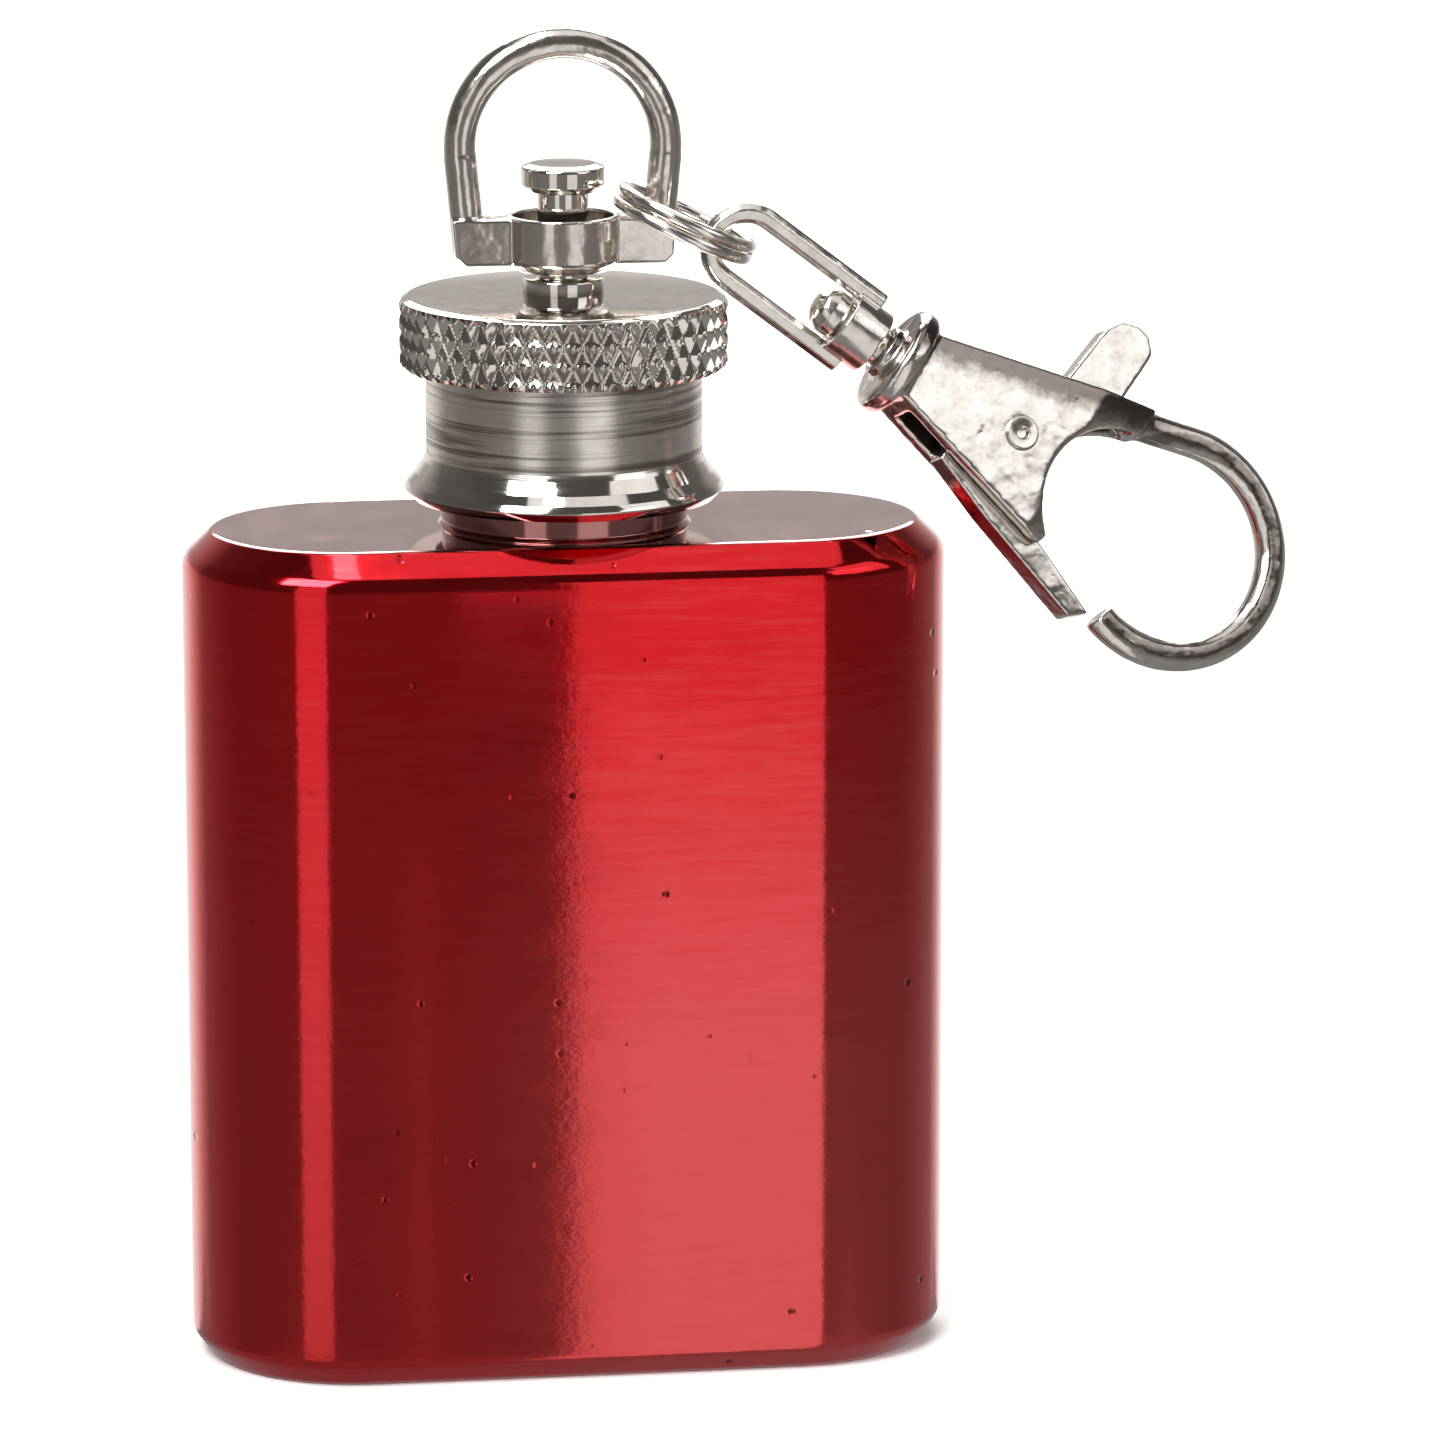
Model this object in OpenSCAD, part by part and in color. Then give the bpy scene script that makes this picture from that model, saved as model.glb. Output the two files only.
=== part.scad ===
// Miniature hip flask on a key clasp: lacquered steel body, screw cap with a swivelling bail,
// split ring and lobster clasp. Origin: centre of the flask's base. +Z up, broad front towards -Y.

/* [Flask body] */
// Width of the body across the two rounded ends
body_w = 44.5; // [43.5:0.5:45]
// Depth of the body, front to back
body_d = 19.2; // [17:0.2:21]
// Height from the base to the flat shoulder
body_h = 49.2; // [40:0.2:70]
// Sheet thickness
wall = 0.5; // [0.4:0.05:0.8]
// Height of the sloped band round the shoulder
shoulder_drop = 1.6; // [1.2:0.1:2.2]
// How far the sloped band leans in at the shoulder
shoulder_inset = 1.7; // [1.2:0.1:2.4]
// Height of the sloped band round the base
base_drop = 1.4; // [1:0.1:2]
// How far the sloped band leans in at the base
base_inset = 1.1; // [0.8:0.1:1.8]

/* [Neck and thread] */
// Diameter of the lacquered neck collar
collar_d = 14.2; // [13.8:0.1:14.6]
// Diameter of the neck bore
bore_d = 10.6; // [9.6:0.2:11.4]
// Root diameter of the neck thread
thread_root_d = 12.7; // [12.6:0.1:12.8]
// Height of the thread ridge above its root
thread_rise = 0.42; // [0.36:0.02:0.46]
// Rise of the thread per turn
pitch = 1.6; // [1.5:0.1:1.7]
// Turns of thread on the neck
neck_turns = 2.7; // [2:0.1:2.9]

/* [Cap] */
// Diameter of the knurled head
head_d = 19.0; // [18.4:0.1:19.6]
// Height of the knurled band
knurl_h = 3.4; // [2.8:0.1:4]
// Diameter of the plain barrel
barrel_d = 16.0; // [15.8:0.1:16.6]
// Diameter of the flared skirt
skirt_d = 18.6; // [17.8:0.1:19.2]
// Height of the whole cap
cap_h = 11.9; // [11.5:0.1:12.5]
// How far the cap's lower rim stands above the shoulder
cap_gap = 1.6; // [1.4:0.1:2]

/* [Swivel stud and bail] */
// Diameter of the stud's shank
stud_d = 2.96; // [2.6:0.02:3.1]
// Diameter of the stud's head
stud_head_d = 4.84; // [4.4:0.02:5]
// Outer width of the D bail at its arch
bail_w = 13.8; // [13.4:0.1:14.2]
// Outer width of the bail at its foot
bail_foot_w = 12.6; // [12.2:0.1:13]
// Height of the bail
bail_h = 13.7; // [13:0.1:15]
// Thickness of the bail's wire
bail_wire = 1.86; // [1.6:0.02:2]
// Height of the bail's flat foot bar
bail_bar_h = 2.7; // [2.4:0.1:3]
// Outer diameter of the bail's cup-shaped boss
boss_d = 6.4; // [6.2:0.1:6.5]

/* [Split ring] */
// Diameter of the ring on its wire's centre line
ring_d = 8.0; // [7.9:0.02:8.1]
// Wire diameter
ring_wire = 0.72; // [0.6:0.02:0.76]
// How steeply the ring hangs away from the bail, in degrees
ring_angle = 24.8; // [24:0.1:25.4]

/* [Clasp] */
// How steeply the clasp lies, in degrees below level
clasp_angle = 37.5; // [36.5:0.1:38]
// How far the clasp is rolled about its own length
clasp_roll = 25; // [15:1:30]
// Outer width of the swivel loop
loop_w = 5.4; // [5.3:0.05:5.5]
// Thickness of the loop's wire
loop_wire = 1.2; // [1.1:0.05:1.25]
// Thickness of the clasp body over both cheeks
clasp_t = 4.0; // [3.8:0.1:4.2]
// Thickness of the gate plate
gate_t = 1.7; // [1.4:0.05:1.75]
// Thickness of the hook's wire
hook_wire = 1.8; // [1.6:0.05:1.9]
// Inner radius of the hook
hook_r = 5.55; // [5.3:0.05:5.7]

/* [Hidden] */
$fn = 64;
eps = 0.01;

lacquer = [0.74, 0.10, 0.13];
steel = [0.76, 0.74, 0.72];
nickel = [0.82, 0.80, 0.78];
liner = [0.86, 0.86, 0.84];
rubber = [0.18, 0.18, 0.18];

// Flask levels and plan
end_r = body_d / 2;
end_x = body_w / 2 - end_r;
z_base_seam = base_drop;
z_top_seam = body_h - shoulder_drop;

// Neck levels
collar_r = collar_d / 2;
root_r = thread_root_d / 2;
crest_r = root_r + thread_rise;
bore_r = bore_d / 2;
z_collar_top = body_h + 2.2;
z_rim = body_h + 9.4;
z_thread = body_h + 3.5;
ridge_foot_w = 0.8;
ridge_top_w = 0.4;
thread_clear = 0.14;
neck_flange_r = collar_r + 0.2;

// Cap levels
z_cap = body_h + cap_gap;
z_cap_top = z_cap + cap_h;
crown = 0.2;
rim_round = 0.45;
z_knurl_top = z_cap_top - crown - rim_round;
z_knurl = z_knurl_top - knurl_h;
cap_skin = 0.6;
shell_r = 7.5;
liner_r = shell_r - 0.02;
liner_bore_r = crest_r + thread_clear;
liner_crest_r = root_r + thread_clear;
z_liner = z_cap + 0.9;
liner_turns = 2.4;
z_liner_thread = z_thread + pitch / 2;
washer_t = 1.0;
fit_gap = 0.1;
z_washer = z_rim + fit_gap;
z_liner_plate = z_washer + washer_t + fit_gap;
liner_plate_t = 1.0;

// Swivel stud levels
stud_r = stud_d / 2;
foot_r = 2.35;
foot_h = 0.85;
z_foot = z_cap_top;
z_stud_head = z_foot + 5.85;
stud_head_h = 1.6;
stud_tail_r = 1.4;
rivet_tail_r = 2.2;

// Bail levels
z_bail = z_cap_top + 1.65;
bail_r = bail_w / 2 - bail_wire / 2;
z_arch = z_bail + bail_h - bail_w / 2;
leg_lean = atan(((bail_w - bail_foot_w) / 2 + 0.05) / (z_arch - z_bail));
bar_y = 2.1;
boss_r = boss_d / 2;
boss_drop = 0.4;
boss_top = bail_bar_h + 0.15;
cup_r = boss_r - 0.3;
cup_floor = 0.9;
boss_bore_r = stud_r + 0.1;

// Split ring: hinge point on the inside of the bail's right leg; the ring hangs to the front of it
ring_r = ring_d / 2;
ring_x = 3.2;
ring_y = -1.75;
ring_z = z_bail + 4.1;
coil_step = ring_wire + 0.04;
cross_a = 9;
end_gap_a = 3;

// Swivel loop: its hinge is the far side of the split ring, a little to the front
link_turn = 30;
link_reach = ring_r * (1 + cos(link_turn));
link_x = ring_x + link_reach * cos(ring_angle);
link_y = ring_y - ring_r * sin(link_turn);
link_z = ring_z - link_reach * sin(ring_angle);
loop_arc_r = (loop_w - loop_wire) / 2;
link_side = 0.25;
loop_leg = 8.3;
sleeve_r = 1.95;
sleeve_from = 6.9;
sleeve_to = 9.3;
pin_r = 1.1;
sleeve_bore_r = pin_r + 0.08;
pin_head_r = 1.38;
pin_head_h = 1.75;
pin_gap = 0.15;
flange_at = 11.15;
loop_x = link_x + link_side * sin(clasp_angle);
loop_z = link_z + link_side * cos(clasp_angle);

// Clasp body, drawn in its own plane: x along the swivel axis from the flange, y towards the gate side
flange_r = 3.35;
flange_t = 1.35;
spine_a = 19;
spine_t = 1.25;
hook_c = [19.8, -0.9];
hook_out = hook_r + hook_wire;
hook_end_a = 105.5;
hook_depth = 1.7;
bay_c = [15.4, -0.1];
bay_r = 4.85;
spine_end = hook_c + hook_out * [-sin(spine_a), -cos(spine_a)];
spine_y = function (x) spine_end[1] + (spine_end[0] - x) * tan(spine_a);
slot_t = gate_t + 0.4;
pivot = [7.98, -0.23];
pivot_r = 0.8;
pivot_head_r = 1.05;
gate_bore_r = pivot_r + 0.06;
hub_r = 2.0;
spring_r = 1.22;
spring_wire = 0.3;
spring_pocket_r = 1.6;
spring_pocket_h = 1.0;
spring_leg = 3.6;
spring_leg_a = 7;

// ---- shared shapes ----

// Upright prism of the flask's plan, shrunk by inset
module plan_prism(inset, z0, z1) {
    r = end_r - inset;
    translate([0, 0, z0]) linear_extrude(z1 - z0) {
        for (s = [-1, 1]) translate([s * end_x, 0]) circle(r);
        translate([-end_x, -r]) square([2 * end_x, 2 * r]);
    }
}

// The same plan, leaning from inset i0 at z0 to inset i1 at z1
module plan_slope(i0, i1, z0, z1) {
    r0 = end_r - i0;
    r1 = end_r - i1;
    for (s = [-1, 1]) translate([s * end_x, 0, z0]) cylinder(h = z1 - z0, r1 = r0, r2 = r1);
    translate([-end_x, 0, 0]) rotate([90, 0, 90]) linear_extrude(2 * end_x)
        polygon([[-r0, z0], [r0, z0], [r1, z1], [-r1, z1]]);
}

// Helical ridge of trapezoid section, from r_root out or in to r_crest, its ends run out
module helix_ridge(r_root, r_crest, turns, z0, steps = 30) {
    n = round(turns * steps);
    lead = steps / 5;
    function reach(i) = min(1, (i + 0.6) / lead, (n - i + 0.6) / lead);
    function ring(i) = let (a = 360 * i / steps, z = z0 + pitch * i / steps,
                            rc = r_root + (r_crest - r_root) * reach(i))
        [for (q = [[r_root, -ridge_foot_w / 2], [rc, -ridge_top_w / 2],
                   [rc, ridge_top_w / 2], [r_root, ridge_foot_w / 2]])
            [q[0] * cos(a), q[0] * sin(a), z + q[1]]];
    pts = [for (i = [0:n]) each ring(i)];
    skin = [for (i = [0:n - 1], k = [0:3]) let (a = 4 * i + k, b = 4 * i + (k + 1) % 4)
        each [[a, b + 4, b], [a, a + 4, b + 4]]];
    ends = [[0, 1, 2], [0, 2, 3], [4 * n, 4 * n + 2, 4 * n + 1], [4 * n, 4 * n + 3, 4 * n + 2]];
    faces = concat(skin, ends);
    polyhedron(pts, r_crest < r_root ? faces : [for (f = faces) [f[2], f[1], f[0]]]);
}

// Octagonal bar section, w across by d deep
module bar_section(w, d) {
    c = min(w, d) * 0.28;
    polygon([[-w / 2 + c, -d / 2], [w / 2 - c, -d / 2], [w / 2, -d / 2 + c], [w / 2, d / 2 - c],
             [w / 2 - c, d / 2], [-w / 2 + c, d / 2], [-w / 2, d / 2 - c], [-w / 2, -d / 2 + c]]);
}

// Straight bar of that section between two points of the local plane
module bar_between(a, b, w, d) {
    v = b - a;
    translate([a[0], a[1], 0]) rotate([0, 0, atan2(v[1], v[0])]) rotate([90, 0, 90])
        linear_extrude(norm(v)) bar_section(w, d);
}

// Places the loop's own plane (x along, y to the gate side) in the flask's frame
module at_loop() {
    translate([loop_x, link_y, loop_z]) rotate([0, clasp_angle, 0]) rotate([-90, 0, 0]) children();
}

// Places the clasp body's plane: the loop's plane, moved out to the flange and rolled
module at_clasp() {
    at_loop() translate([flange_at, 0, 0]) rotate([-clasp_roll, 0, 0]) children();
}

// ---- flask ----

// Side wall: one wrapped strip of sheet, open above and below
module body_shell() color(lacquer) difference() {
    plan_prism(0, z_base_seam, z_top_seam);
    plan_prism(wall, z_base_seam - eps, z_top_seam + eps);
}

// Pressed shoulder: a shallow dish with a sloped rim and the neck hole
module shoulder_plate() color(lacquer) difference() {
    plan_slope(0, shoulder_inset, z_top_seam, body_h);
    plan_slope(wall, shoulder_inset + wall, z_top_seam - eps, body_h - wall);
    translate([0, 0, body_h - wall - 1]) cylinder(h = wall + 2, r = collar_r);
}

// Pressed base: the same dish turned over
module base_plate() color(lacquer) difference() {
    plan_slope(base_inset, 0, 0, z_base_seam);
    plan_slope(base_inset + wall, wall, wall, z_base_seam + eps);
}

// Neck: brazed flange, lacquered collar and threaded spout
module neck() color(lacquer) {
    difference() {
        union() {
            translate([0, 0, body_h - wall - 0.6]) cylinder(h = 0.6, r = neck_flange_r);
            translate([0, 0, body_h - wall - 0.6]) cylinder(h = z_collar_top - body_h + wall + 0.6, r = collar_r);
            cylinder_from(z_collar_top - eps, z_rim, root_r);
        }
        cylinder_from(body_h - 3, z_rim + 1, bore_r);
    }
    helix_ridge(root_r - 0.1, crest_r, neck_turns, z_thread);
}

module cylinder_from(z0, z1, r) translate([0, 0, z0]) cylinder(h = z1 - z0, r = r);

// ---- cap ----

// Turned cap shell: crowned top, knurled head, plain barrel, coved and flared skirt
module cap_shell() color(steel) {
    head_r = head_d / 2;
    barrel_r = barrel_d / 2;
    skirt_r = skirt_d / 2;
    difference() {
        rotate_extrude() polygon([
            [0, z_cap_top - cap_skin], [shell_r, z_cap_top - crown - cap_skin], [shell_r, z_cap],
            [skirt_r - 0.5, z_cap], [skirt_r, z_cap + 0.55], [skirt_r - 0.35, z_cap + 0.95],
            [barrel_r + 0.35, z_cap + 1.7], [barrel_r, z_cap + 2.4],
            [barrel_r, z_knurl - 0.3], [head_r - 0.35, z_knurl - 0.3], [head_r, z_knurl],
            [head_r, z_knurl_top], [head_r - 0.15, z_knurl_top + 0.3],
            [head_r - 0.45, z_cap_top - crown], [0, z_cap_top]]);
        cylinder_from(z_cap_top - 2, z_cap_top + 1, stud_tail_r);
    }
}

// Moulded liner pressed into the shell, with the cap's own thread
module cap_liner() color(liner) {
    difference() {
        cylinder_from(z_liner, z_liner_plate + liner_plate_t, liner_r);
        cylinder_from(z_liner - 1, z_liner_plate, liner_bore_r);
    }
    helix_ridge(liner_bore_r + 0.1, liner_crest_r, liner_turns, z_liner_thread);
}

// Flat seal that lands on the neck's rim
module seal_washer() color(rubber) difference() {
    cylinder_from(z_washer, z_washer + washer_t, liner_crest_r - fit_gap);
    cylinder_from(z_washer - 1, z_washer + washer_t + 1, 2.4);
}

// Swivel stud: foot, shank and mushroom head, riveted through the cap's top
module cap_stud() color(steel) {
    rotate_extrude() polygon([
        [0, z_cap_top - cap_skin - 0.85], [rivet_tail_r - 0.3, z_cap_top - cap_skin - 0.85],
        [rivet_tail_r, z_cap_top - cap_skin - 0.5], [rivet_tail_r, z_cap_top - cap_skin - 0.05],
        [stud_tail_r - 0.02, z_cap_top - cap_skin - 0.05], [stud_tail_r - 0.02, z_foot],
        [foot_r, z_foot], [foot_r, z_foot + foot_h - 0.15], [foot_r - 0.15, z_foot + foot_h],
        [stud_r, z_foot + foot_h], [stud_r, z_stud_head],
        [stud_head_d / 2 - 0.5, z_stud_head], [stud_head_d / 2, z_stud_head + 0.4],
        [stud_head_d / 2, z_stud_head + stud_head_h - 0.25],
        [stud_head_d / 2 - 0.15, z_stud_head + stud_head_h - 0.08],
        [0, z_stud_head + stud_head_h + 0.05]]);
}

// ---- bail and ring ----

// Cast D bail: round arch and legs, square foot bar, cup-shaped boss on the stud
module bail() color(nickel) {
    leg_end = z_bail + 0.9;
    leg_len = (z_arch - bail_r * sin(leg_lean) - leg_end) / cos(leg_lean);
    splay = (bail_bar_h - 0.5) * tan(leg_lean);
    difference() {
        union() {
            translate([0, 0, z_arch]) rotate([90, 0, 0]) rotate([0, 0, -leg_lean])
                rotate_extrude(angle = 180 + 2 * leg_lean) translate([bail_r, 0]) circle(d = bail_wire);
            for (s = [-1, 1])
                translate([s * bail_r * cos(leg_lean), 0, z_arch - bail_r * sin(leg_lean)])
                    rotate([0, 180 + s * leg_lean, 0]) translate([0, 0, -0.1])
                    cylinder(h = leg_len + 0.1, d = bail_wire + 0.06);
            translate([0, bar_y / 2, z_bail]) rotate([90, 0, 0]) linear_extrude(bar_y)
                polygon([[0.5 - bail_foot_w / 2, 0], [bail_foot_w / 2 - 0.5, 0], [bail_foot_w / 2, 0.5],
                         [bail_foot_w / 2 + splay, bail_bar_h], [-bail_foot_w / 2 - splay, bail_bar_h],
                         [-bail_foot_w / 2, 0.5]]);
            translate([0, 0, z_bail - boss_drop]) cylinder(h = 0.6, r1 = boss_r - 0.6, r2 = boss_r);
            cylinder_from(z_bail - boss_drop + 0.6, z_bail + boss_top, boss_r);
        }
        cylinder_from(z_bail - 2, z_bail + 5, boss_bore_r);
        cylinder_from(z_bail + cup_floor, z_bail + boss_top + 1, cup_r);
    }
}

// Split ring: two coils of wire side by side, joined by one crossing; both wire ends stop short of it
module split_ring() color(nickel)
    translate([ring_x, ring_y, ring_z]) rotate([0, ring_angle, 0]) translate([ring_r, 0, 0]) {
        span = 360 - 2 * cross_a - end_gap_a;
        for (s = [-1, 1]) translate([0, 0, s * coil_step / 2])
            rotate([0, 0, s > 0 ? cross_a : cross_a + end_gap_a]) rotate_extrude(angle = span)
                translate([ring_r, 0]) circle(d = ring_wire, $fn = 32);
        hull() for (s = [-1, 1]) rotate([0, 0, s * cross_a])
            translate([ring_r, 0, s * coil_step / 2]) rotate([90, 0, 0])
                cylinder(h = 0.1, d = ring_wire - 0.04, center = true, $fn = 16);
    }

// ---- swivel ----

// Swivel loop: long eye with a sleeve that the swivel pin passes through
module swivel_loop() color(nickel) at_loop() difference() {
    union() {
        rotate([0, 0, 90]) rotate_extrude(angle = 180)
            translate([loop_arc_r, 0]) bar_section(loop_wire, loop_wire);
        for (s = [-1, 1])
            bar_between([-eps, s * loop_arc_r], [loop_leg, s * loop_arc_r], loop_wire, loop_wire);
        translate([sleeve_from, 0, 0]) rotate([0, 90, 0]) cylinder(h = sleeve_to - sleeve_from, r = sleeve_r);
    }
    translate([sleeve_from - 1, 0, 0]) rotate([0, 90, 0])
        cylinder(h = sleeve_to - sleeve_from + 2, r = sleeve_bore_r);
}

// Swivel pin: domed head inside the loop, shank through the sleeve into the clasp body
module swivel_pin() color(nickel) at_loop()
    translate([sleeve_from - pin_gap - pin_head_h, 0, 0]) rotate([0, 90, 0]) {
        dome = 0.95;
        sphere_r = (pin_head_r * pin_head_r + dome * dome) / (2 * dome);
        intersection() {
            translate([0, 0, sphere_r]) sphere(sphere_r);
            cylinder(h = dome + eps, r = pin_head_r + 1);
        }
        translate([0, 0, dome]) cylinder(h = pin_head_h - dome, r = pin_head_r);
        translate([0, 0, dome]) cylinder(h = flange_at - sleeve_from + pin_gap + pin_head_h - dome, r = pin_r);
    }

// ---- clasp ----

// Outline of the two cheeks, from the flange to the hook
function cheek_outline() = [
    [0, spine_y(0)], [14.6, spine_y(14.6)], [14.6, -4.6], [13.3, 1], [12.55, 3.9],
    [12.3, 4.5], [11.8, 4.55], [0, 2.15]];

// Clasp body: swivel flange, two cheeks with a slot between them, and the hook
module clasp_body() color(nickel) at_clasp() {
    difference() {
        union() {
            rotate([0, 90, 0]) translate([0, 0, -flange_t / 2]) {
                cylinder(h = 0.3, r1 = flange_r - 0.3, r2 = flange_r);
                translate([0, 0, 0.3]) cylinder(h = flange_t - 0.6, r = flange_r);
                translate([0, 0, flange_t - 0.3]) cylinder(h = 0.3, r1 = flange_r, r2 = flange_r - 0.3);
            }
            translate([-flange_t / 2 - 0.65, 0, 0]) rotate([0, 90, 0]) cylinder(h = 1, r = 1.6);
            intersection() {
                translate([0, 0, -clasp_t / 2]) linear_extrude(clasp_t) polygon(cheek_outline());
                rotate([90, 0, 0]) translate([0, 0, -10]) linear_extrude(20)
                    polygon([[-1, -clasp_t / 2], [11.2, -clasp_t / 2], [15.6, -0.9], [15.6, 0.9],
                             [11.2, clasp_t / 2], [-1, clasp_t / 2]]);
            }
        }
        translate([bay_c[0], bay_c[1], -5]) cylinder(h = 10, r = bay_r);
        // Slot between the cheeks, open at the gate side
        translate([0, 0, -slot_t / 2]) linear_extrude(slot_t)
            polygon([[1.9, spine_y(1.9) + spine_t], [14, spine_y(14) + spine_t], [14, 9], [1.9, 9]]);
        // Window in the spine for the thumb lever
        translate([0, 0, -slot_t / 2]) linear_extrude(slot_t)
            polygon([[5.5, -8], [13, -8], [13, 2], [5.5, 2]]);
        translate([pivot[0], pivot[1], -5]) cylinder(h = 10, r = pivot_r);
        // Seat of the swivel pin's shank
        translate([-3, 0, 0]) rotate([0, 90, 0]) cylinder(h = 3.4, r = pin_r);
    }
    translate([hook_c[0], hook_c[1], 0]) rotate([0, 0, -90 - spine_a])
        rotate_extrude(angle = 90 + spine_a + hook_end_a)
            translate([hook_r + hook_wire / 2, 0]) bar_section(hook_wire, hook_depth);
    spine_mid = hook_c + (hook_r + hook_wire / 2) * [-sin(spine_a), -cos(spine_a)];
    bar_between(spine_mid + 4.55 * [-cos(spine_a), sin(spine_a)], spine_mid + eps * [cos(spine_a), -sin(spine_a)],
                hook_wire, hook_depth);
}

// Gate: hub on the rivet, closing arm and thumb lever in one plate
module gate() color(nickel) at_clasp() difference() {
    translate([0, 0, -gate_t / 2]) {
        translate([pivot[0], pivot[1], 0]) cylinder(h = gate_t, r = hub_r);
        linear_extrude(gate_t) polygon([
            [6.1, 0.9], [4.9, 2.5], [4.9, 3.55], [8.9, 4.85], [16.3, 6.75], [17.3, 5.85],
            [12.3, 4.0], [10.3, 2.3], [9.7, 0.5]]);
        linear_extrude(gate_t) polygon([
            [6.5, -1.1], [8.9, -4.6], [9.5, -9.2], [10.1, -10.15], [11.1, -10.55], [12.0, -10.4],
            [12.7, -9.6], [12.7, -9.0], [12.5, -5.6], [9.7, -0.1]]);
    }
    translate([pivot[0], pivot[1], -5]) cylinder(h = 10, r = gate_bore_r);
    translate([pivot[0], pivot[1], gate_t / 2 - spring_pocket_h]) {
        cylinder(h = 5, r = spring_pocket_r);
        // Relief for the spring's fixed leg over the gate's travel
        linear_extrude(5) polygon([[0, 0.6], [-3, 2.6], [-4, 0], [-3.9, -2.2], [-2.3, -3.9], [0.35, -2.05], [0.6, -1]]);
    }
}

// Gate rivet: shank through both cheeks, low heads with a centre mark
module gate_rivet() color(nickel) at_clasp() translate([pivot[0], pivot[1], 0]) difference() {
    union() {
        cylinder(h = clasp_t + 0.02, r = pivot_r - 0.01, center = true);
        for (s = [0, 1]) mirror([0, 0, s]) translate([0, 0, clasp_t / 2]) {
            cylinder(h = 0.12, r = pivot_head_r);
            translate([0, 0, 0.12]) cylinder(h = 0.12, r1 = pivot_head_r, r2 = pivot_head_r - 0.15);
        }
    }
    for (s = [0, 1]) mirror([0, 0, s]) translate([0, 0, clasp_t / 2 + 0.02])
        cylinder(h = 1, r1 = 0.35, r2 = 0.75);
}

// Gate spring: three coils round the rivet and a leg braced on the spine
module gate_spring() color(steel) at_clasp()
    translate([pivot[0], pivot[1], gate_t / 2 - spring_pocket_h + 0.22]) {
        for (i = [0:2]) translate([0, 0, i * 0.28]) rotate_extrude()
            translate([spring_r, 0]) circle(d = spring_wire, $fn = 16);
        translate([0, -spring_r, 0.56]) rotate([0, -90, spring_leg_a]) {
            cylinder(h = spring_leg, d = spring_wire, $fn = 16);
            translate([0, 0, spring_leg]) sphere(d = spring_wire, $fn = 16);
        }
    }

body_shell();
shoulder_plate();
base_plate();
neck();
cap_shell();
cap_liner();
seal_washer();
cap_stud();
bail();
split_ring();
swivel_loop();
swivel_pin();
clasp_body();
gate();
gate_rivet();
gate_spring();
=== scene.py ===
"""Looks of a miniature hip flask on a key clasp, built round its CAD frame. Lengths are in millimetres
until a mesh is made, where MM turns them into metres."""
import math

import bmesh
import bpy
from mathutils import Matrix, Vector

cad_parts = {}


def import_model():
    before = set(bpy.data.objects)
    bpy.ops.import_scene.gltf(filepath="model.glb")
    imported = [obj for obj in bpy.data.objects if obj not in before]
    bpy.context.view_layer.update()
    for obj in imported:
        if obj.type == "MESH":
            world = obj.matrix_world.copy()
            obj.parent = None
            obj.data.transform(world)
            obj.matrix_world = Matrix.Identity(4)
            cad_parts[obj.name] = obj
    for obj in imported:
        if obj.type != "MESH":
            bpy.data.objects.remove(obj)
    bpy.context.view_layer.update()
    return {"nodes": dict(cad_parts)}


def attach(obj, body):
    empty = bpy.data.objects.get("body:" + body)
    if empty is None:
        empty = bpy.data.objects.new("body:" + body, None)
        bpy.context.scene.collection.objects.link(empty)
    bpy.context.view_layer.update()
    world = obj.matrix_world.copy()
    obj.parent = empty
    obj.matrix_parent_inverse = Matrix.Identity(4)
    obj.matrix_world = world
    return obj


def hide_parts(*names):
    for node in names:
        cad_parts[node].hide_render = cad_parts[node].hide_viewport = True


MM = 0.001
TAU = 2 * math.pi

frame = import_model()

# ---- sizes shared with the solids ----
END_X, END_R = 12.65, 9.6
BODY_H, WALL = 49.2, 0.5
COLLAR_R, ROOT_R, CREST_R, BORE_R = 7.1, 6.35, 6.77, 5.3
Z_RIM, Z_THREAD, PITCH, TURNS = 58.6, 52.7, 1.6, 2.7
Z_CAP, Z_CAP_TOP = 50.8, 62.7
HEAD_R, BARREL_R, SKIRT_R, SHELL_R = 9.5, 8.0, 9.3, 7.5
CROWN, RIM_ROUND, KNURL_H = 0.2, 0.45, 3.4
STUD_R, Z_STUD_HEAD = 1.48, 68.55
RING_AT, RING_R, RING_WIRE, RING_A = (3.2, -1.75, 68.45), 4.0, 0.72, math.radians(24.8)
AXIS_U = Vector((0.79335334, 0.0, -0.60876143))
AXIS_N = Vector((-0.55172522, -0.42261826, -0.71902231))
AXIS_W = Vector((-0.2572737, 0.90630779, -0.33528561))
FLANGE_AT = Vector((18.97382, -3.75, 58.72982))
PIVOT = Vector((25.43168, -3.65280, 54.03727))


# ---- mesh helpers ----

def new_object(name, verts, faces, material, smooth_deg=35):
    """Object of that mesh (mm), shaded smooth except across edges sharper than smooth_deg."""
    mesh = bpy.data.meshes.new(name)
    mesh.from_pydata([tuple(c * MM for c in v) for v in verts], [], faces)
    mesh.validate()
    bm = bmesh.new()
    bm.from_mesh(mesh)
    bmesh.ops.recalc_face_normals(bm, faces=bm.faces)
    bm.to_mesh(mesh)
    bm.free()
    mesh.materials.append(material)
    mesh.shade_smooth()
    mesh.set_sharp_from_angle(angle=math.radians(smooth_deg))
    obj = bpy.data.objects.new(name, mesh)
    bpy.context.scene.collection.objects.link(obj)
    return obj


def place(obj, body, slot, *nodes):
    """Rides the piece on its CAD body and hides the solids it stands for; slot is not used."""
    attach(obj, body)
    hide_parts(*nodes)
    return obj


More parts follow.
